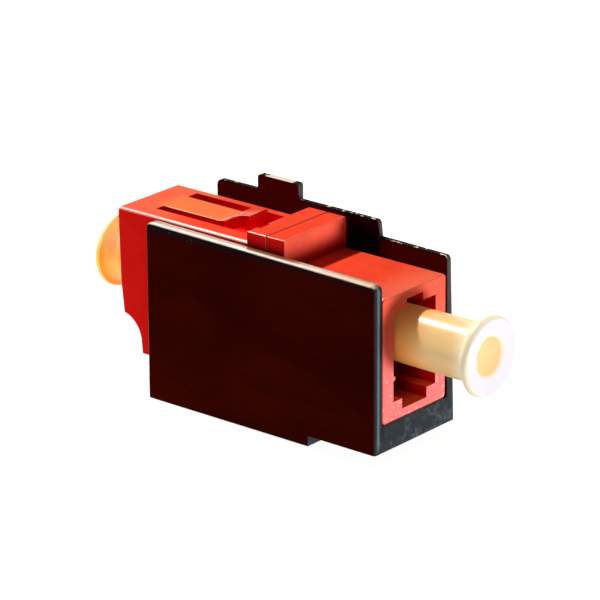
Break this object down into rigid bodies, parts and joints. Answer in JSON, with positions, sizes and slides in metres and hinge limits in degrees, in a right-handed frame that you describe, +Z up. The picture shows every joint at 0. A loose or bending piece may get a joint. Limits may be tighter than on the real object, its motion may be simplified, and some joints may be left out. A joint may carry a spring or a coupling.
{
  "type": "lc fibre adapter",
  "caption": "Simplex LC fibre adapter: two-part red body with split sleeve, in a black U-shaped snap-in carrier, with a pull-out cream dust plug in each port.",
  "frame": {"origin": "optical reference point on the optical axis, at the middle of the split sleeve and in the plane where the two red housing halves meet", "axes": "+X along the optical axis towards the front port, +Y towards the carrier's thin drafted wall with the finger tab, +Z up, away from the latch side of the ports"},
  "size_m": [0.0338, 0.0088, 0.0155],
  "materials": {
    "ceramic": "polished white zirconia ceramic",
    "red_plastic": "satin moulded red plastic, slightly translucent",
    "black_plastic": "glossy moulded black plastic",
    "cream_plastic": "translucent soft cream plastic"
  },
  "bodies": {
    "adapter": {"front_housing": "red_plastic", "rear_housing": "red_plastic", "split_sleeve": "ceramic", "snap_in_carrier": "black_plastic"},
    "front_plug": {"front_dust_plug": "cream_plastic"},
    "rear_plug": {"rear_dust_plug": "cream_plastic"}
  },
  "joints": [
    {"name": "front_plug_pull", "type": "slide", "parent": "adapter", "child": "front_plug", "axis": [1, 0, 0], "range_m": [0, 0.013]},
    {"name": "rear_plug_pull", "type": "slide", "parent": "adapter", "child": "rear_plug", "axis": [-0.9993, 0, 0.0384], "range_m": [0, 0.013]}
  ]
}
